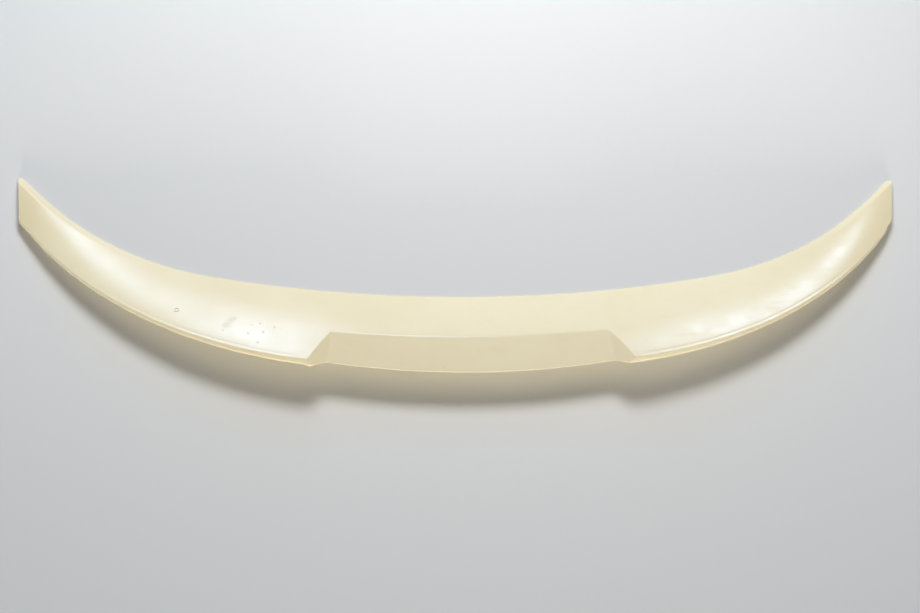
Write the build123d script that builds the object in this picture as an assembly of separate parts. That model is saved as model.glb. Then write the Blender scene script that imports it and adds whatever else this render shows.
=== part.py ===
from build123d import *
import os
from math import asin, cos, hypot, pi, radians, sin, sqrt, tan

# Boot-lid lip spoiler: one moulded skin, hollow underneath, with a notch in the middle of its lip.
# X runs across the car, +Y to the front, +Z up. All sizes are in millimetres and degrees.

# Overall size
half_span = 605.0            # middle of the car to the sharp tip, before the tip is rounded
skin_wall = 3.0              # moulded thickness

# Plan lines: each bends gently in the middle, then tighter, then runs straight at the tip
nose_mid_radius = 1748.0
nose_mid_half = 324.0
nose_end_radius = 458.0
nose_tip_lean = 45.0         # lean of the straight run at the tip
lip_setback = 132.0          # from the nose back to the lip, in the middle
lip_mid_radius = 1357.0
lip_mid_half = 200.0
lip_end_radius = 590.0
lip_tip_lean = 50.0

# Top skin and its two edges
lip_height = 50.0            # top of the lip in the middle
lip_tip_height = 8.0
lip_fall_power = 2.8         # the lip keeps its height well out along the wing
skin_radius = 700.0          # crown of the top skin from nose to lip
nose_edge = 2.0              # upright edge that meets the boot lid
nose_height = 4.0            # top of the nose roll in the middle
nose_tip_height = 8.0
nose_roll = 3.0              # depth of the nose roll in the middle
nose_tip_roll = 14.0
nose_power = 4.0             # the roll widens only towards the tips
rim_height = 6.0             # rounded rim of the lip, in the middle
rim_tip_height = 3.0
rim_depth = 4.0
rim_tip_depth = 1.5
rim_bulge = 1.0              # how far the rim is rounded out
under_lean = 20.5            # lean of the under-skin from the lip forward to the heel on the boot lid
under_tip_lean = 41.0
under_power = 1.5

# Tips
tip_cut = 13.7               # the ends run this much inwards towards the rear
tip_round = 6.5

# Notch: a flat panel sunk into the lip between two sloping sides
notch_inset = 5.5            # the panel's rear edge stops this far ahead of the lip, in the middle
notch_depth = 13.9           # from the top of the lip down to the ends of that edge
notch_tilt = 3.4             # the panel rises to the rear
notch_half_width = 177.0     # of the panel along its rear edge
notch_taper = 5.5            # its sides draw in towards the front
notch_side_slope = 27.5      # the sides climb outwards to the top skin
notch_edge_radius = 1063.0   # bow of the rear edge in plan
notch_corner_sweep = 7.0     # the rear edge runs back out to the lip at this angle
notch_rear_lean = 34.0       # lean of the rear face below the panel
notch_brink_round = 6.0      # soft fold where the top skin breaks into the notch
notch_edge_round = 1.5       # rounded rear edge of the panel

# Hollow underside
bond_land = 18.0             # flat strip behind the nose that is glued to the boot lid
lip_core = 8.0               # solid depth of the lip
hollow_half = 530.0          # the hollow stops short of the tips

# Working allowances for cutting
below = 6.0                  # blanks reach this far under the boot lid plane and are cut off there
above = 20.0                 # cutters reach this far over the lip
section_steps = 8            # stations from the middle to each end


def plan_rise(x, mid_radius, mid_half, end_radius, tip_lean):
    """How far forward a plan line has come at x: wide arc, tighter arc, straight run."""
    x = abs(x)
    if x <= mid_half:
        return mid_radius - sqrt(mid_radius**2 - x**2)
    lean = asin(mid_half / mid_radius)
    centre_x = mid_half - end_radius * sin(lean)
    centre_y = mid_radius + (end_radius - mid_radius) * cos(lean)
    straight_x = centre_x + end_radius * sin(radians(tip_lean))
    if x <= straight_x:
        return centre_y - sqrt(end_radius**2 - (x - centre_x)**2)
    return centre_y - end_radius * cos(radians(tip_lean)) + (x - straight_x) * tan(radians(tip_lean))


def nose_y(x):
    return plan_rise(x, nose_mid_radius, nose_mid_half, nose_end_radius, nose_tip_lean)


def lip_y(x):
    return plan_rise(x, lip_mid_radius, lip_mid_half, lip_end_radius, lip_tip_lean) - lip_setback


def towards_tip(x, middle, tip, power):
    """A size that changes from its value in the middle to its value at the tip."""
    return middle + (tip - middle) * (abs(x) / half_span)**power


def under_run(x):
    """How far the under-skin comes forward for each millimetre that it drops."""
    return tan(radians(towards_tip(x, under_lean, under_tip_lean, under_power)))


def section_points(x):
    """Corners of the outer section at x, as (y, z): nose crease, lip crease, lip edge, heel."""
    lip_z = towards_tip(x, lip_height, lip_tip_height, lip_fall_power)
    rim_z = towards_tip(x, rim_height, rim_tip_height, 2)
    rim_y = towards_tip(x, rim_depth, rim_tip_depth, 2)
    roll_y = towards_tip(x, nose_roll, nose_tip_roll, nose_power)
    roll_z = towards_tip(x, nose_height, nose_tip_height, nose_power)
    crease = (nose_y(x) - roll_y, roll_z)
    lip_top = (lip_y(x) + rim_y, lip_z)
    lip_edge = (lip_y(x), lip_z - rim_z)
    heel = (lip_edge[0] + lip_edge[1] * under_run(x), 0.0)
    return crease, lip_top, lip_edge, heel


def skin_height(x, y, lowered=0.0):
    """Height of the top skin at (x, y), on the crown arc from nose crease to lip, or lowered inside it."""
    (y1, z1), (y2, z2), _, _ = section_points(x)
    chord = hypot(y1 - y2, z2 - z1)
    sag = sqrt(skin_radius**2 - (chord / 2)**2)
    centre_y = (y1 + y2) / 2 - (z2 - z1) / chord * sag
    centre_z = (z1 + z2) / 2 - (y1 - y2) / chord * sag
    return centre_z + sqrt((skin_radius - lowered)**2 - (y - centre_y)**2)


def bulged(start, end, bulge):
    """Middle point of an arc from start to end, pushed out by bulge on its right-hand side."""
    dy = end[0] - start[0]
    dz = end[1] - start[1]
    length = hypot(dy, dz)
    return ((start[0] + end[0]) / 2 + dz / length * bulge, (start[1] + end[1]) / 2 - dy / length * bulge)


def section_face(x, edges):
    """Face in the plane at x from edges given as lists of two points, or three for an arc."""
    lines = []
    for points in edges:
        corners = [Vector(x, y, z) for y, z in points]
        lines.append(Line(*corners) if len(corners) == 2 else ThreePointArc(*corners))
    return make_face(Curve() + lines)


def stations(half):
    """Places of the sections across the part, closer together towards the ends."""
    return [half * sin(pi / 2 * step / section_steps) for step in range(-section_steps, section_steps + 1)]


def outer_section(x):
    crease, lip_top, lip_edge, heel = section_points(x)
    front_low = (nose_y(x), -below)
    front_top = (nose_y(x), nose_edge)
    middle_y = (crease[0] + lip_top[0]) / 2
    skin_middle = (middle_y, skin_height(x, middle_y))
    heel_low = (heel[0] + under_run(x) * below, -below)
    rim_middle = bulged(lip_top, lip_edge, rim_bulge)
    return section_face(x, [
        [front_low, front_top],
        [front_top, crease],
        [crease, skin_middle, lip_top],
        [lip_top, rim_middle, lip_edge],
        [lip_edge, heel_low],
        [heel_low, front_low],
    ])


def hollow_section(x):
    _, _, lip_edge, heel = section_points(x)
    run = under_run(x)
    inner_heel_y = heel[0] + skin_wall * hypot(1, run)
    front_y = nose_y(x) - bond_land
    back_y = lip_edge[0] + lip_core
    middle_y = (front_y + back_y) / 2
    front_top = (front_y, skin_height(x, front_y, skin_wall))
    skin_middle = (middle_y, skin_height(x, middle_y, skin_wall))
    back_top = (back_y, skin_height(x, back_y, skin_wall))
    back_low = (back_y, (inner_heel_y - back_y) / run)
    heel_low = (inner_heel_y + run * below, -below)
    front_low = (front_y, -below)
    return section_face(x, [
        [front_low, front_top],
        [front_top, skin_middle, back_top],
        [back_top, back_low],
        [back_low, heel_low],
        [heel_low, front_low],
    ])


def notch_corner():
    """Place and height, as (y, z), where the panel's rear edge ends at either side."""
    bow = notch_edge_radius - sqrt(notch_edge_radius**2 - notch_half_width**2)
    return notch_inset - lip_setback + bow, lip_height - notch_depth


def panel_section(y, grow):
    """Opening of the notch over the panel at y, between its sloping sides, grown by a wall for the hollow."""
    slope = radians(notch_side_slope)
    corner_y, corner_z = notch_corner()
    ahead = y - corner_y
    low_z = corner_z - ahead * tan(radians(notch_tilt)) - grow
    high_z = lip_height + above
    half = notch_half_width - ahead * tan(radians(notch_taper)) + grow * tan(slope / 2)
    high_half = half + (high_z - low_z) / tan(slope)
    corners = [(-half, y, low_z), (half, y, low_z), (high_half, y, high_z), (-high_half, y, high_z)]
    return make_face(Polyline(*corners, close=True))


def panel_cutter(grow):
    return loft([panel_section(0, grow), panel_section(-2 * lip_setback, grow)], ruled=True)


def rear_outline(z, grow):
    """Plan of the space behind the notch at height z: bowed along the panel, swept back at its ends."""
    lean = radians(notch_rear_lean)
    corner_y, corner_z = notch_corner()
    shift = (corner_z - z) * tan(lean) + grow / cos(lean)
    front_y = notch_inset - lip_setback + shift
    corner_y += shift
    far_y = -2 * lip_setback
    far_half = 2 * notch_half_width
    end_y = corner_y - (far_half - notch_half_width) * tan(radians(notch_corner_sweep))
    left = Vector(-notch_half_width, corner_y, z)
    right = Vector(notch_half_width, corner_y, z)
    bow = ThreePointArc(left, Vector(0, front_y, z), right)
    far_right = [(far_half, end_y, z), (far_half, far_y, z)]
    far_left = [(-far_half, far_y, z), (-far_half, end_y, z)]
    return make_face(Curve() + [bow, Polyline(right, *far_right, *far_left, left)])


def rear_cutter(grow):
    return loft([rear_outline(-2 * below, grow), rear_outline(lip_height + above, grow)], ruled=True)


def trim_tip(body):
    """Cut one end along its slanted line and round the sharp tip in plan."""
    tip = Vector(half_span, nose_y(half_span), 0)
    end_way = Vector(-sin(radians(tip_cut)), -cos(radians(tip_cut)), 0)
    lean = radians(nose_tip_lean)
    nose_way = Vector(-cos(lean), -sin(lean), 0)
    outward = Vector(cos(radians(tip_cut)), -sin(radians(tip_cut)), 0)
    body = split(body, Plane(origin=tip, x_dir=(0, 0, 1), z_dir=outward), keep=Keep.BOTTOM)
    half_angle = radians(end_way.get_angle(nose_way)) / 2
    reach = tip_round / tan(half_angle)
    middle_way = (end_way + nose_way).normalized()
    centre = tip + middle_way * (tip_round / sin(half_angle))
    outside = tip - middle_way * tip_round
    corners = [tip + end_way * reach, outside, tip + nose_way * reach, centre]
    corner = make_face(Polyline(*[(p.X, p.Y) for p in corners], close=True))
    corner -= Pos(centre.X, centre.Y) * Circle(tip_round)
    return body - extrude(corner, amount=lip_height, both=True)


def cut_notch(body):
    """Sink the panel into the lip, round the brink along the top skin, then trim and round the rear edge."""
    cutter = panel_cutter(0)
    sunk = body - cutter
    top_skin = sunk.faces().filter_by(GeomType.BSPLINE).sort_by(SortBy.AREA)[-1]
    brink = [edge for edge in new_edges(body, cutter, combined=sunk) if edge in top_skin.edges()]
    sunk = fillet(brink, notch_brink_round)
    cutter = rear_cutter(0)
    trimmed = sunk - cutter
    cut_edges = new_edges(sunk, cutter, combined=trimmed).sort_by(SortBy.LENGTH)
    panel_edge = cut_edges[-2:].sort_by(Axis.Z)[-1]
    return fillet(panel_edge, notch_edge_round)


def spoiler():
    body = loft([outer_section(x) for x in stations(half_span)])
    body = split(body, Plane.XY, keep=Keep.TOP)
    for _ in range(2):
        body = mirror(trim_tip(body), about=Plane.YZ)
    body = cut_notch(body)
    hollow = loft([hollow_section(x) for x in stations(hollow_half)])
    body -= hollow - panel_cutter(skin_wall) - rear_cutter(skin_wall)
    box = body.bounding_box()
    return Pos(-box.center().X, -box.center().Y, -box.min.Z) * body


os.makedirs("parts", exist_ok=True)
export_step(spoiler(), "parts/spoiler_shell.step")
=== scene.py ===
import bpy
import numpy as np
from mathutils import Matrix, Vector


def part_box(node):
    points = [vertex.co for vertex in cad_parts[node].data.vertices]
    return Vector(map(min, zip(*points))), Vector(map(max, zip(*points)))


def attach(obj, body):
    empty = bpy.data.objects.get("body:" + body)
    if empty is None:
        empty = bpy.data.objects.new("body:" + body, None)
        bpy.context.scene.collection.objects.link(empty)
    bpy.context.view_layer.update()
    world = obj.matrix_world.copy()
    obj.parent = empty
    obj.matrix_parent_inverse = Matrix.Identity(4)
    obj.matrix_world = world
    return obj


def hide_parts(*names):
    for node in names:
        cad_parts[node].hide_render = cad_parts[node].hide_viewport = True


# A moulded boot-lid lip spoiler in bare cream gel coat, hollow underneath, on a plain pale floor.
# Sizes are in millimetres and degrees, in the plan frame whose Y is 0 at the middle of the nose.

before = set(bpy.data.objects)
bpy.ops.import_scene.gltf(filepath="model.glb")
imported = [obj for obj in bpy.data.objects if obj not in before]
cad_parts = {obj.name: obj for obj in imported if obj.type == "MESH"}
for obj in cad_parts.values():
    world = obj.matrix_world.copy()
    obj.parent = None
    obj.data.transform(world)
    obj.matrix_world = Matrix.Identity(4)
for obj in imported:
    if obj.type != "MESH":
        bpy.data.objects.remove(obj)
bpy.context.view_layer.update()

# Sizes of the solid: overall
half_span = 605.0
skin_wall = 3.0

# Plan lines
nose_mid_radius = 1748.0
nose_mid_half = 324.0
nose_end_radius = 458.0
nose_tip_lean = 45.0
lip_setback = 132.0
lip_mid_radius = 1357.0
lip_mid_half = 200.0
lip_end_radius = 590.0
lip_tip_lean = 50.0

# Top skin and its two edges
lip_height = 50.0
lip_tip_height = 8.0
lip_fall_power = 2.8
skin_radius = 700.0
nose_edge = 2.0
nose_height = 4.0
nose_tip_height = 8.0
nose_roll = 3.0
nose_tip_roll = 14.0
nose_power = 4.0
rim_height = 6.0
rim_tip_height = 3.0
rim_depth = 4.0
rim_tip_depth = 1.5
rim_bulge = 1.0
under_lean = 20.5
under_tip_lean = 41.0
under_power = 1.5

# Tips
tip_cut = 13.7
tip_round = 6.5

# Notch
notch_inset = 5.5
notch_depth = 13.9
notch_tilt = 3.4
notch_half_width = 177.0
notch_taper = 5.5
notch_side_slope = 27.5
notch_edge_radius = 1063.0
notch_corner_sweep = 7.0
notch_rear_lean = 34.0

# Hollow underside
bond_land = 18.0
lip_core = 8.0
hollow_half = 530.0

# Marks of the moulding and of its trimming by hand
groove_depth = 0.1           # shallow line above the rim of each wing
groove_ahead = 4.5
groove_width = 1.8
groove_span = [200.0, 225.0, 480.0, 560.0]    # where it starts, is whole, starts to fade and ends
trim_wave = 0.3              # unevenness of the left wing's trimmed lower edge
trim_fade = 3.0              # height over which it and the thick corner fade
drip_x = -199.0              # thick corner of the lip at the notch's left end
drip_reach = 2.2
drip_width = 5.0
burr_x = -110.0              # burr on the notch's rear edge
burr_reach = 1.1
burr_width = 1.6
burr_fade = 2.0              # height over which the burr fades
end_place = 150.0            # how far ahead of the nose's middle each tip's reach is measured
left_reach = 592.7
left_cut = 10.3              # slant of the left tip's end
left_round = 3.3
right_reach = 592.0
right_cut = 14.0
right_round = 3.9
nose_trim = 3.0              # taken off the nose of the right tip
nose_trim_start = 535.0
nose_trim_stop = 570.0
chip_x = 571.5               # broken rear corner of the right tip
chip_y = 98.0
chip_slope = 1.295
chip_rag = 0.4
ring_mark = (-365.0, -33.5)
ring_radius = 2.9
ring_bead = 0.6
nib_marks = [
    (-305.0, -66.5), (-274.0, -71.0), (-271.0, -56.5), (-261.0, -53.5),
    (-256.0, -69.0), (-243.0, -60.0), (-261.0, -85.5),
]
nib_radius = 1.5
nib_height = 0.45
smear_marks = [(-302.0, -58.0), (-296.0, -48.0)]
smudge_mark = (25.0, -46.0)

# Softness of the moulded edges
crease_soft = 0.5            # between the nose roll and the top skin
brink_soft = 0.6             # between the top skin and the notch
fold_soft = 0.6              # between the notch's panel and its sides
corner_soft = 0.8            # along the rear outline, at the notch's corners
end_soft = 4.0               # between the lip and the cut end of a tip
sharp_angle = 38.0           # edges that fold by more than this stay sharp

# Rounding of the edge from the top to the rear: places along the span, then reach ahead and down
edge_places = [0.0, 177.0, 195.0, 203.0, 576.0, 586.0, half_span]
edge_ahead = [2.2, 2.2, 1.6, 1.3, 1.3, 4.0, 4.0]
edge_down = [2.0, 2.0, 1.4, 1.2, 1.2, 1.0, 1.0]

# Places along the span between which the sections come closer, and rows across them
side_start = 164.0
side_stop = 208.0
tip_start = 558.0
hollow_end_lean = 0.4        # the wall that ends the hollow takes this much of the span
nose_bend_reach = 0.9        # rounding of the upright nose edge
crease_margin = 4.0          # rows stay close together until this far behind the nose roll
brink_spread = 3.0           # and within this far of the notch's brink
solver_rounds = 40

# Points around each section
front_points = 4
nose_points = 6
roll_points = 10
skin_points = 30
brink_rows = 14
panel_points = 18
brink_points = 8
rim_points = 8
under_points = 14
inner_rear_points = 9
inner_top_points = 16
inner_front_points = 3


def sine(degrees):
    return np.sin(np.radians(degrees))


def cosine(degrees):
    return np.cos(np.radians(degrees))


def slope(degrees):
    return np.tan(np.radians(degrees))


def smooth_min(a, b, soft):
    share = np.clip(0.5 + 0.5 * (b - a) / soft, 0.0, 1.0)
    return b * (1 - share) + a * share - soft * share * (1 - share)


def smooth_max(a, b, soft):
    return -smooth_min(-a, -b, soft)


def plan_rise(x, mid_radius, mid_half, end_radius, tip_lean):
    """How far forward a plan line has come at x: wide arc, tighter arc, straight run."""
    x = np.abs(x)
    lean = np.arcsin(mid_half / mid_radius)
    centre_x = mid_half - end_radius * np.sin(lean)
    centre_y = mid_radius + (end_radius - mid_radius) * np.cos(lean)
    straight_x = centre_x + end_radius * sine(tip_lean)
    wide = mid_radius - np.sqrt(mid_radius**2 - np.minimum(x, mid_half)**2)
    tight = centre_y - np.sqrt(end_radius**2 - (np.clip(x, mid_half, straight_x) - centre_x)**2)
    straight = np.maximum(x - straight_x, 0) * slope(tip_lean)
    return np.where(x <= mid_half, wide, tight + straight)


def nose_y(x):
    return plan_rise(x, nose_mid_radius, nose_mid_half, nose_end_radius, nose_tip_lean)


def lip_y(x):
    return plan_rise(x, lip_mid_radius, lip_mid_half, lip_end_radius, lip_tip_lean) - lip_setback


def towards_tip(x, middle, tip, power):
    return middle + (tip - middle) * (np.abs(x) / half_span)**power


def lip_z(x):
    return towards_tip(x, lip_height, lip_tip_height, lip_fall_power)


def rim_z(x):
    return towards_tip(x, rim_height, rim_tip_height, 2)


def rim_y(x):
    return towards_tip(x, rim_depth, rim_tip_depth, 2)


def roll_y(x):
    return towards_tip(x, nose_roll, nose_tip_roll, nose_power)


def roll_z(x):
    return towards_tip(x, nose_height, nose_tip_height, nose_power)


def under_run(x):
    return slope(towards_tip(x, under_lean, under_tip_lean, under_power))


def skin_height(x, y, lowered=0.0):
    """Height of the crowned top skin at (x, y), or of its inner face when lowered."""
    y1 = nose_y(x) - roll_y(x)
    z1 = roll_z(x)
    y2 = lip_y(x) + rim_y(x)
    z2 = lip_z(x)
    chord = np.hypot(y1 - y2, z2 - z1)
    sag = np.sqrt(skin_radius**2 - (chord / 2)**2)
    centre_y = (y1 + y2) / 2 - (z2 - z1) / chord * sag
    centre_z = (z1 + z2) / 2 - (y1 - y2) / chord * sag
    return centre_z + np.sqrt((skin_radius - lowered)**2 - (y - centre_y)**2)


def notch_floor(x, y, grow=0.0):
    """Height of the notch's panel and of the sides that climb from it, or of their inner faces."""
    ahead = y - notch_corner_y
    panel = notch_corner_z - ahead * slope(notch_tilt) - grow
    half = notch_half_width - ahead * slope(notch_taper) + grow * slope(notch_side_slope / 2)
    return smooth_max(panel, panel + (np.abs(x) - half) * slope(notch_side_slope), fold_soft)


def rim_groove(x, y):
    """Depth of the shallow line that runs above the rim of each wing."""
    ax = np.abs(x)
    along = np.interp(ax, groove_span, [0.0, 1.0, 1.0, 0.0])
    ahead = y - lip_y(x) - rim_y(x) - groove_ahead
    return groove_depth * along * np.exp(-(ahead / groove_width)**2)


def top_height(x, y):
    """Height of the outside at (x, y): the nose roll, the top skin and the notch."""
    roll = nose_edge + (roll_z(x) - nose_edge) * (nose_y(x) - y) / roll_y(x)
    skin = smooth_min(roll, skin_height(x, y) - rim_groove(x, y), crease_soft)
    return smooth_min(skin, notch_floor(x, y), brink_soft)


def inner_height(x, y):
    return np.minimum(skin_height(x, y, skin_wall), notch_floor(x, y, skin_wall))


# Where the panel's rear edge ends
notch_bow = notch_edge_radius - np.sqrt(notch_edge_radius**2 - notch_half_width**2)
notch_corner_y = notch_bow + notch_inset - lip_setback
notch_corner_z = lip_height - notch_depth


def rounded_tip(cut, end_point, rounding, trim=0.0):
    """Where a slanted end through a plan point meets the nose line, and the circle that rounds it."""
    run = slope(cut)
    rise = slope(nose_tip_lean)
    nose_start = float(nose_y(half_span)) - half_span * rise - trim
    sharp_x = (end_point[0] + (nose_start - end_point[1]) * run) / (1 - rise * run)
    sharp = np.array([sharp_x, nose_start + sharp_x * rise])
    end_way = np.array([-sine(cut), -cosine(cut)])
    nose_way = np.array([-cosine(nose_tip_lean), -sine(nose_tip_lean)])
    half_angle = np.arccos(end_way @ nose_way) / 2
    reach = rounding / np.tan(half_angle)
    middle_way = (end_way + nose_way) / np.linalg.norm(end_way + nose_way)
    return {
        "sharp": sharp,
        "cut": cut,
        "centre": sharp + middle_way * rounding / np.sin(half_angle),
        "rounding": rounding,
        "start_x": sharp[0] + nose_way[0] * reach,
        "stop_x": sharp[0] + end_way[0] * reach,
    }


cad_tip = rounded_tip(tip_cut, (half_span, float(nose_y(half_span))), tip_round)
left_tip = rounded_tip(left_cut, (left_reach, end_place), left_round)
right_tip = rounded_tip(right_cut, (right_reach, end_place), right_round, nose_trim)


def tip_arc(x, tip):
    return np.sqrt(np.maximum(tip["rounding"]**2 - (np.abs(x) - tip["centre"][0])**2, 0.0))


def trimmed_nose(x):
    share = np.clip((x - nose_trim_start) / (nose_trim_stop - nose_trim_start), 0.0, 1.0)
    return nose_y(x) - nose_trim * share**2 * (3 - 2 * share)


def tip_front(x, tip):
    return np.where(np.abs(x) < tip["start_x"], trimmed_nose(x), tip["centre"][1] + tip_arc(x, tip))


def tip_end(x, tip):
    straight = tip["sharp"][1] - (tip["sharp"][0] - np.abs(x)) / slope(tip["cut"])
    return np.where(np.abs(x) < tip["stop_x"], straight, tip["centre"][1] - tip_arc(x, tip))


def front_y(x):
    """Front outline: the nose line, then the rounded tip."""
    return np.where(x < 0, tip_front(x, left_tip), tip_front(x, right_tip))


def end_y(x):
    """Outline of the cut end: everything behind it is gone."""
    return np.where(x < 0, tip_end(x, left_tip), tip_end(x, right_tip))


def lip_rear(x, z):
    """Rear outline without the notch: the bulged rim, then the under-skin down to the heel."""
    down = np.clip((lip_z(x) - z) / rim_z(x), 0.0, 1.0)
    bulge = rim_bulge * np.hypot(rim_z(x), rim_y(x)) / rim_z(x)
    rim = lip_y(x) + rim_y(x) * (1 - down) - 4 * bulge * down * (1 - down)
    under = np.maximum(lip_z(x) - rim_z(x) - z, 0.0) * under_run(x)
    return rim + under


def notch_rear(x, z, grow=0.0):
    """Rear face below the notch: bowed along the panel, swept back to the lip at its ends."""
    x = np.abs(x)
    shift = (notch_corner_z - z) * slope(notch_rear_lean) + grow / cosine(notch_rear_lean)
    bowed = notch_edge_radius - np.sqrt(notch_edge_radius**2 - x**2) + notch_inset - lip_setback
    swept = notch_corner_y - (x - notch_half_width) * slope(notch_corner_sweep)
    return shift + smooth_min(bowed, swept, corner_soft)


def hand_trim(x, z):
    """Unevenness of the rear edges: a wavy trim, the thick left corner and the burr."""
    ripple = np.sin(x / 7.3) * np.sin(x / 31.0 + 0.6) + 0.6 * np.sin(x / 3.1 + 1.0)
    wave = trim_wave * ripple * (x < drip_x)
    drip = drip_reach * np.exp(-((x - drip_x) / drip_width)**2)
    burr = burr_reach * np.exp(-((x - burr_x) / burr_width)**2)
    low = lip_z(x) - rim_z(x)
    near_rim = np.exp(-((z - low) / trim_fade)**2)
    near_edge = np.exp(-((z - notch_corner_z) / burr_fade)**2)
    return (wave + drip) * near_rim + burr * near_edge


def broken_corner(x):
    """Ragged line along which the right tip has lost its rear corner."""
    rag = chip_rag * (np.sin(x * 1.9) + 0.6 * np.sin(x * 4.3 + 1.0))
    return chip_y + chip_slope * (x - chip_x) + rag


def rear_y(x, z):
    rear = smooth_max(lip_rear(x, z), notch_rear(x, z), corner_soft) - hand_trim(x, z)
    rear = np.where(x > chip_x, smooth_max(rear, broken_corner(x), chip_rag), rear)
    return smooth_max(rear, end_y(x), end_soft)


def inner_rear_y(x, z):
    run = under_run(x)
    under = lip_y(x) + (lip_z(x) - rim_z(x) - z) * run + skin_wall * np.hypot(1, run)
    lip = np.maximum(under, lip_y(x) + lip_core)
    return np.maximum(lip, notch_rear(x, z, skin_wall))


def meet(x, start, rear, top):
    """Height where a rear outline meets a top skin."""
    z = start
    for _ in range(solver_rounds):
        z = top(x, rear(x, z))
    return z


def brink_line(x, ahead, behind):
    """Where the top skin breaks into the notch between two lines, or the rear one where it does not."""
    for _ in range(solver_rounds):
        middle = (ahead + behind) / 2
        broken = skin_height(x, middle) > notch_floor(x, middle)
        ahead = np.where(broken, ahead, middle)
        behind = np.where(broken, middle, behind)
    return behind


def bend(start, corner, stop, count):
    """Points on a smooth bend from start to stop round a corner, ends left out."""
    t = np.linspace(0, 1, count + 2)[1:-1]
    return [(1 - s)**2 * start + 2 * s * (1 - s) * corner + s**2 * stop for s in t]


def half_stations(tip):
    """Places of one side's sections, close together at the burr, at the notch's side and at the tip."""
    burr = -burr_x
    end_x = tip["centre"][0] + tip["rounding"] - 0.01
    turn = np.linspace(0, np.pi / 2, 18)[1:]
    return np.concatenate([
        np.linspace(0, burr - 5, 28),
        np.linspace(burr - 4, burr + 4, 13),
        np.linspace(burr + 5, side_start, 15),
        np.linspace(side_start, side_stop, 64)[1:],
        np.linspace(side_stop, hollow_half - hollow_end_lean, 104)[1:],
        np.linspace(hollow_half, tip_start, 11),
        np.linspace(tip_start, tip["start_x"], 44)[1:],
        tip["start_x"] + (end_x - tip["start_x"]) * np.sin(turn),
    ])


def span_stations():
    return np.concatenate([-half_stations(left_tip)[:0:-1], half_stations(right_tip)])


def section_loops(x):
    """Closed outline of every section as (y, z) columns, and how many columns the outside takes."""
    front = front_y(x)
    top_z = meet(x, lip_z(x), rear_y, top_height)
    back = rear_y(x, top_z)
    depth = front - back
    front_top = top_height(x, front)
    nose_bend = np.minimum(nose_bend_reach, 0.25 * depth)
    ax = np.abs(x)
    round_ahead = np.minimum(np.interp(ax, edge_places, edge_ahead), 0.3 * depth)
    round_down = np.interp(ax, edge_places, edge_down)
    zero = np.zeros_like(x)
    loop = []

    def put(y, z):
        loop.append(np.stack([y, z], axis=-1))

    # Front wall and the bend onto the nose roll
    for share in np.linspace(0, 1, front_points):
        put(front, (front_top - nose_bend) * share)
    start = np.stack([front, front_top - nose_bend], axis=-1)
    corner = np.stack([front, front_top], axis=-1)
    stop = np.stack([front - nose_bend, top_height(x, front - nose_bend)], axis=-1)
    loop.extend(bend(start, corner, stop, nose_points))

    # Nose roll and top skin
    first = front - nose_bend
    last = back + round_ahead
    crease = np.maximum(nose_y(x) - roll_y(x) - crease_margin, first + (last - first) * 0.45)
    crease = np.minimum(crease, first - 0.1 * (first - last))
    edge_y = brink_line(x, crease, last)
    spread = np.minimum(brink_spread, 0.08 * (crease - last))
    middle = np.maximum(edge_y, last + 1.5 * spread)
    before = middle + spread
    after = middle - spread
    for share in np.linspace(0, 1, roll_points, endpoint=False):
        y = first + (crease - first) * share
        put(y, top_height(x, y))
    rows = [
        np.linspace(0, 1, skin_points, endpoint=False)[:, None] * (before - crease) + crease,
        np.linspace(0, 1, brink_rows, endpoint=False)[:, None] * (after - before) + before,
        np.linspace(0, 1, panel_points)[:, None] * (last - after) + after,
    ]
    for y in np.concatenate(rows):
        put(y, top_height(x, y))

    # Rounded edge onto the rim or the rear face
    start = np.stack([last, top_height(x, last)], axis=-1)
    corner = np.stack([back, top_z], axis=-1)
    low = top_z - round_down
    stop = np.stack([rear_y(x, low), low], axis=-1)
    loop.extend(bend(start, corner, stop, brink_points))

    # Rim and under-skin, or the rear face of the notch
    rim_low = top_z - rim_z(x)
    for share in np.linspace(0, 1, rim_points, endpoint=False):
        z = low + (rim_low - low) * share
        put(rear_y(x, z), z)
    for share in np.linspace(0, 1, under_points):
        z = rim_low * (1 - share)
        put(rear_y(x, z), z)
    outside = len(loop)

    # Hollow: past its own ends its points lie evenly spread on the bottom plane
    inside = np.clip(ax, 0, hollow_half - hollow_end_lean)
    inner_top = meet(inside, 0.5 * lip_z(inside), inner_rear_y, inner_height)
    inner_front = nose_y(inside) - bond_land
    inner_front_top = skin_height(inside, inner_front, skin_wall)
    inner_back = inner_rear_y(inside, inner_top)
    inner = []
    for share in np.linspace(0, 1, inner_rear_points):
        z = inner_top * share
        inner.append((inner_rear_y(inside, z), z))
    for share in np.linspace(0, 1, inner_top_points)[1:]:
        y = inner_back + (inner_front - inner_back) * share
        inner.append((y, inner_height(inside, y)))
    for share in np.linspace(0, 1, inner_front_points)[1:]:
        inner.append((inner_front, inner_front_top * (1 - share)))
    heel = rear_y(x, zero)
    heel_inside = rear_y(inside, zero)
    toe_inside = nose_y(inside)
    hollow = ax < hollow_half - hollow_end_lean / 2
    flat_rows = np.linspace(inner[0][0], inner[-1][0], len(inner))
    for (y, z), flat_y in zip(inner, flat_rows):
        share = (np.where(hollow, y, flat_y) - heel_inside) / (toe_inside - heel_inside)
        put(heel + (front - heel) * share, np.where(hollow, z, 0.0))
    return np.stack(loop, axis=1), outside


def raised_mark(x, y, outline, count):
    """Small closed mark on the skin at (x, y): (reach, height) points turned about the normal."""
    step = 0.5
    z = float(top_height(x, y))
    tilt_x = float(top_height(x + step, y)) - z
    tilt_y = float(top_height(x, y + step)) - z
    normal = Vector((-tilt_x, -tilt_y, step)).normalized()
    side = Vector((0, 1, 0)).cross(normal).normalized()
    along = normal.cross(side)
    points = []
    for turn in np.arange(count) * 2 * np.pi / count:
        way = side * np.cos(turn) + along * np.sin(turn)
        points.append([Vector((x, y, z)) + way * reach + normal * height for reach, height in outline])
    return points


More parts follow.
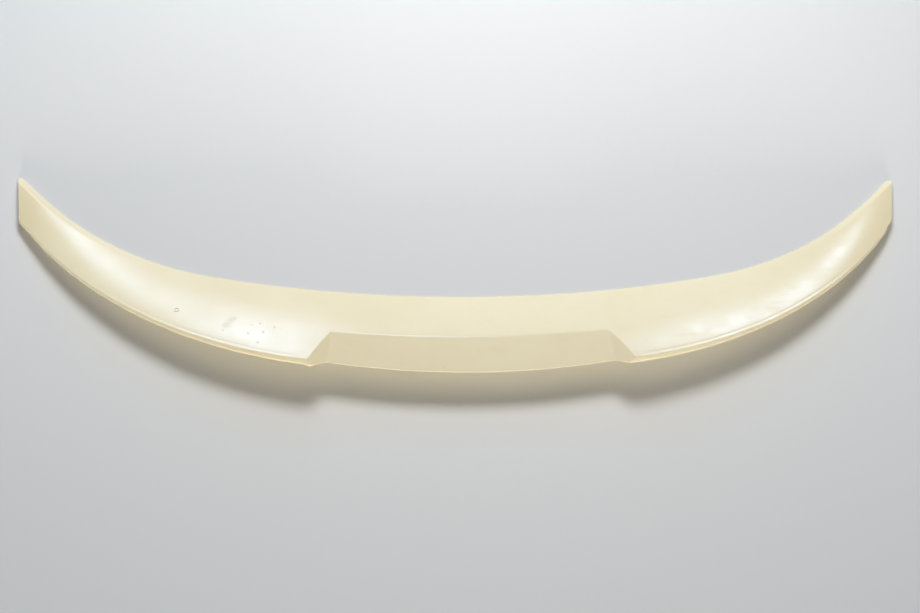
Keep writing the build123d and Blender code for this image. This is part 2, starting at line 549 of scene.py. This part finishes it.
def dome_outline():
    """A nib: a low dome that starts under the skin."""
    turns = np.linspace(-1.2, np.pi / 2 - 0.12, 7)
    return [(nib_radius * np.cos(t), nib_height * np.sin(t)) for t in turns]


def ring_outline():
    """The ring-shaped bubble: a round bead half sunk in the skin."""
    turns = np.linspace(0, 2 * np.pi, 12, endpoint=False)
    return [(ring_radius + ring_bead * np.cos(t), ring_bead * np.sin(t)) for t in turns]


def add_mark(points, closed, places, faces):
    """Join a turned mark's points into faces and add them to a mesh's lists."""
    first = len(places)
    count = len(points)
    size = len(points[0])
    for column in points:
        places.extend(tuple(p) for p in column)
    for i in range(count):
        k = (i + 1) % count
        for j in range(size if closed else size - 1):
            m = (j + 1) % size
            here = first + i * size
            beside = first + k * size
            faces.append((here + j, beside + j, beside + m, here + m))
    if not closed:
        faces.append([first + i * size for i in range(count)][::-1])
        faces.append([first + i * size + size - 1 for i in range(count)])


def spoiler_mesh():
    """Closed mesh of all the sections and the marks: skin, hollow and marks have a slot each."""
    x = span_stations()
    loops, outside = section_loops(x)
    stations, points = loops.shape[:2]
    y_shift = cad_high_y - cad_tip["centre"][1] - cad_tip["rounding"]
    grid = np.empty((stations, points, 3))
    grid[:, :, 0] = x[:, None]
    grid[:, :, 1:] = loops
    places = [tuple(p) for p in grid.reshape(-1, 3)]
    faces = []
    slots = []
    for i in range(stations - 1):
        for j in range(points):
            k = (j + 1) % points
            faces.append((i * points + j, i * points + k, (i + 1) * points + k, (i + 1) * points + j))
            slots.append(1 if j >= outside - 1 else 0)
    faces.append(tuple(range(points))[::-1])
    faces.append(tuple(range((stations - 1) * points, stations * points)))
    slots += [0, 0]
    add_mark(raised_mark(*ring_mark, ring_outline(), 36), True, places, faces)
    for mark in nib_marks:
        add_mark(raised_mark(*mark, dome_outline(), 16), False, places, faces)
    slots += [2] * (len(faces) - len(slots))
    mesh = bpy.data.meshes.new("spoiler_skin")
    places = np.array(places) + np.array([0.0, y_shift, 0.0])
    mesh.from_pydata((places / 1000).tolist(), [], faces)
    mesh.polygons.foreach_set("material_index", slots)
    mesh.polygons.foreach_set("use_smooth", [True] * len(faces))
    mesh.update()
    mesh.validate()
    return mesh, y_shift


cad_high_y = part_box("spoiler_shell")[1][1] * 1000
skin_mesh, shift_y = spoiler_mesh()
skin_mesh.set_sharp_from_angle(angle=np.radians(sharp_angle))
skin = bpy.data.objects.new("spoiler_skin", skin_mesh)
bpy.context.scene.collection.objects.link(skin)


class Tree:
    """Small helper for building a material out of nodes."""

    def __init__(self, name):
        self.material = bpy.data.materials.new(name)
        self.material.use_nodes = True
        self.tree = self.material.node_tree
        self.tree.nodes.clear()

    def add(self, kind, settings=None, **inputs):
        node = self.tree.nodes.new(kind)
        for key, value in (settings or {}).items():
            setattr(node, key, value)
        for key, value in inputs.items():
            if key[0] == "i" and key[1:].isdigit():
                socket = node.inputs[int(key[1:])]
            else:
                socket = node.inputs[key.replace("_", " ")]
            if isinstance(value, bpy.types.NodeSocket):
                self.tree.links.new(value, socket)
            else:
                socket.default_value = value
        return node

    def math(self, operation, a, b):
        return self.add("ShaderNodeMath", {"operation": operation}, i0=a, i1=b).outputs[0]

    def stretch(self, vector, factors):
        return self.add("ShaderNodeVectorMath", {"operation": "MULTIPLY"}, i0=vector, i1=factors).outputs[0]

    def ramp(self, value, low, high, to_low=0.0, to_high=1.0):
        node = self.add("ShaderNodeMapRange", {"interpolation_type": "SMOOTHSTEP"}, Value=value)
        for key, number in zip(("From Min", "From Max", "To Min", "To Max"), (low, high, to_low, to_high)):
            node.inputs[key].default_value = number
        return node.outputs[0]

    def noise(self, vector, scale, detail=2.0, roughness=0.5):
        inputs = {"Vector": vector, "Scale": scale, "Detail": detail, "Roughness": roughness}
        return self.add("ShaderNodeTexNoise", None, **inputs).outputs[0]

    def mix(self, share, a, b):
        node = self.add("ShaderNodeMix", {"data_type": "RGBA"})
        for place, value in ((0, share), (6, a), (7, b)):
            if isinstance(value, bpy.types.NodeSocket):
                self.tree.links.new(value, node.inputs[place])
            else:
                node.inputs[place].default_value = value
        return node.outputs[2]

    def place(self):
        return self.add("ShaderNodeTexCoord").outputs["Object"]

    def surface(self, **inputs):
        """End the material with a shader that takes the given inputs."""
        shader = self.add("ShaderNodeBsdfPrincipled", None, **inputs)
        self.add("ShaderNodeOutputMaterial", None, Surface=shader.outputs[0])
        return self.material


# Colours
cream = (0.785, 0.680, 0.440, 1)
pale_cream = (0.810, 0.715, 0.483, 1)
cloud_cream = (0.745, 0.625, 0.375, 1)
speck_brown = (0.420, 0.340, 0.200, 1)
smear_grey = (0.600, 0.555, 0.430, 1)
resin = (0.500, 0.430, 0.255, 1)
pale_resin = (0.620, 0.555, 0.375, 1)
glass = (0.740, 0.705, 0.590, 1)
dust = (0.800, 0.765, 0.665, 1)
pale_dust = (0.880, 0.845, 0.745, 1)
floor_grey = (0.70, 0.70, 0.69, 1)


def spot(t, place, mark, radius, ragged):
    """Soft patch around a mark on the skin, with an uneven outline."""
    flat = t.stretch(place, (1.0, 1.0, 0.0))
    middle = (mark[0] / 1000, (mark[1] + shift_y) / 1000, 0.0)
    reach = t.add("ShaderNodeVectorMath", {"operation": "DISTANCE"}, i0=flat, i1=middle).outputs["Value"]
    uneven = t.math("MULTIPLY", t.noise(place, 300.0, 3.0), ragged)
    return t.ramp(t.math("ADD", reach, uneven), radius, 0.4 * radius)


def gel_coat():
    """Bare cream gel coat: cloudy tint, fine specks and pinholes, dull smears, faint orange peel."""
    t = Tree("gel_coat")
    place = t.place()
    broad = t.ramp(t.noise(place, 5.0, 3.0), 0.35, 0.65)
    colour = t.mix(broad, cream, pale_cream)
    cloud = t.ramp(t.noise(place, 45.0, 4.0), 0.45, 0.75)
    colour = t.mix(t.math("MULTIPLY", cloud, 0.16), colour, cloud_cream)
    cells = t.add("ShaderNodeTexVoronoi", {"feature": "F1"}, Vector=place, Scale=230.0)
    draw = t.add("ShaderNodeSeparateColor", None, Color=cells.outputs["Color"]).outputs[0]
    chosen = t.ramp(draw, 0.955, 0.975)
    speck = t.math("MULTIPLY", chosen, t.ramp(cells.outputs["Distance"], 0.16, 0.08))
    colour = t.mix(t.math("MULTIPLY", speck, 0.55), colour, speck_brown)
    smear = spot(t, place, smudge_mark, 0.012, 0.010)
    for mark in smear_marks:
        smear = t.math("MAXIMUM", smear, spot(t, place, mark, 0.0105, 0.005))
    colour = t.mix(t.math("MULTIPLY", smear, 0.32), colour, smear_grey)
    along = t.stretch(place, (12.0, 260.0, 260.0))
    wiped = t.ramp(t.noise(along, 1.0, 3.0), 0.45, 0.7)
    rough = t.ramp(t.noise(place, 26.0, 5.0, 0.6), 0.3, 0.75, 0.17, 0.24)
    rough = t.math("ADD", rough, t.math("MULTIPLY", wiped, 0.03))
    rough = t.math("ADD", rough, t.math("MULTIPLY", smear, 0.09))
    peel = t.noise(place, 480.0, 2.0)
    height = t.math("ADD", t.math("MULTIPLY", peel, 0.25), t.math("MULTIPLY", speck, -1.0))
    bump = t.add("ShaderNodeBump", None, Strength=0.12, Distance=0.0003, Height=height)
    return t.surface(Base_Color=colour, Roughness=rough, Normal=bump.outputs[0], IOR=1.52)


def strands(t, place, turn):
    """Thin straight fibres lying in one direction."""
    turned = t.add("ShaderNodeMapping", None, Vector=place)
    turned.inputs["Rotation"].default_value = (0.0, 0.0, turn)
    along = t.stretch(turned.outputs[0], (38.0, 950.0, 300.0))
    return t.ramp(t.noise(along, 1.0, 1.0), 0.56, 0.66)


def raw_laminate():
    """Back of the moulding: chopped glass strands in yellowish resin."""
    t = Tree("raw_laminate")
    place = t.place()
    fibres = strands(t, place, 0.3)
    for turn in (1.1, 2.0, 2.7):
        fibres = t.math("MAXIMUM", fibres, strands(t, place, turn))
    colour = t.mix(t.ramp(t.noise(place, 55.0, 4.0), 0.3, 0.7), resin, pale_resin)
    colour = t.mix(t.math("MULTIPLY", fibres, 0.6), colour, glass)
    height = t.math("ADD", fibres, t.noise(place, 140.0, 4.0))
    bump = t.add("ShaderNodeBump", None, Strength=0.5, Distance=0.0005, Height=height)
    rough = t.ramp(t.noise(place, 90.0, 3.0), 0.3, 0.7, 0.32, 0.55)
    return t.surface(Base_Color=colour, Roughness=rough, Normal=bump.outputs[0])


def grime():
    """Grey dust that clings to the small raised marks."""
    t = Tree("grime")
    place = t.place()
    colour = t.mix(t.ramp(t.noise(place, 900.0, 3.0), 0.35, 0.65), dust, pale_dust)
    return t.surface(Base_Color=colour, Roughness=0.6)


def pale_floor():
    return Tree("pale_floor").surface(Base_Color=floor_grey, Roughness=0.9, Specular_IOR_Level=0.1)


skin_mesh.materials.append(gel_coat())
skin_mesh.materials.append(raw_laminate())
skin_mesh.materials.append(grime())
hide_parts("spoiler_shell")
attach(skin, "root")

# Floor
floor_reach = 6.0
floor_corners = [(x * floor_reach, y * floor_reach, 0) for x, y in ((-1, -1), (1, -1), (1, 1), (-1, 1))]
floor_mesh = bpy.data.meshes.new("floor")
floor_mesh.from_pydata(floor_corners, [], [(0, 1, 2, 3)])
floor = bpy.data.objects.new("floor", floor_mesh)
bpy.context.scene.collection.objects.link(floor)
floor_mesh.materials.append(pale_floor())


def area_light(name, azimuth, height_angle, reach, size, size_y, power, colour):
    """Rectangular lamp that looks at the middle of the part from a direction, 0 being the front."""
    level = reach * cosine(height_angle)
    place = Vector((level * sine(azimuth), level * cosine(azimuth), reach * sine(height_angle)))
    lamp = bpy.data.lights.new(name, "AREA")
    lamp.shape = "RECTANGLE"
    lamp.size = size
    lamp.size_y = size_y
    lamp.energy = power
    lamp.color = colour
    lamp_object = bpy.data.objects.new(name, lamp)
    lamp_object.location = place
    lamp_object.visible_camera = False
    lamp_object.rotation_euler = (-place).to_track_quat("-Z", "Y").to_euler()
    bpy.context.scene.collection.objects.link(lamp_object)
    return lamp_object


# Light: daylight from above, windows that show as highlights, and glow near the ground
warm = (1.0, 0.985, 0.95)
sky = (0.52, 0.70, 1.0)
daylight = area_light("daylight", 4.0, 53.0, 1.9, 0.95, 0.55, 31.0, warm)
daylight.visible_glossy = False
area_light("left_window", -7.3, 24.5, 6.0, 0.80, 0.80, 16.5, sky)
area_light("near_window", -14.6, 32.5, 1.95, 0.20, 0.25, 2.7, sky)
area_light("upper_window", -1.0, 42.0, 6.0, 0.9, 1.2, 36.0, sky)
area_light("right_window", 18.5, 28.3, 6.0, 0.6, 0.6, 18.5, sky)
area_light("front_glow", 2.0, 14.0, 6.0, 5.0, 2.4, 38.0, sky)
rear_glow = area_light("rear_glow", 180.0, 6.0, 4.5, 2.4, 0.5, 11.0, warm)
rear_glow.data.spread = np.radians(36.0)

world_level = 0.16
world = bpy.data.worlds.new("studio")
bpy.context.scene.world = world
world.use_nodes = True
background = world.node_tree.nodes["Background"]
background.inputs[0].default_value = (1.0, 1.0, 1.0, 1)
background.inputs[1].default_value = world_level

# Camera at the photograph's viewing angle
camera_tilt = np.radians(60.0)
camera_yaw = 0.1089          # radians, like the roll
camera_roll = 0.0896
camera_reach = 1500.0
camera_aim = np.array([-10.5, -13.1 + shift_y, 0.0])
focal_pixels = 1162.2
image_width = 920
sight = np.array([
    np.sin(camera_yaw) * np.cos(camera_tilt),
    np.cos(camera_yaw) * np.cos(camera_tilt),
    -np.sin(camera_tilt),
])
level = np.array([np.cos(camera_yaw), -np.sin(camera_yaw), 0.0])
upright = np.cross(level, sight)
right = np.cos(camera_roll) * level + np.sin(camera_roll) * upright
up = -np.sin(camera_roll) * level + np.cos(camera_roll) * upright
camera_place = (camera_aim - sight * camera_reach) / 1000
camera_data = bpy.data.cameras.new("camera")
camera_data.sensor_width = 36.0
camera_data.sensor_fit = "HORIZONTAL"
camera_data.lens = focal_pixels * camera_data.sensor_width / image_width
camera = bpy.data.objects.new("camera", camera_data)
turn = np.stack([right, up, -sight], axis=1)
matrix = Matrix.Identity(4)
for row in range(3):
    for column in range(3):
        matrix[row][column] = turn[row, column]
    matrix[row][3] = camera_place[row]
camera.matrix_world = matrix
bpy.context.scene.collection.objects.link(camera)
bpy.context.scene.camera = camera

bpy.context.scene.view_settings.view_transform = "Standard"
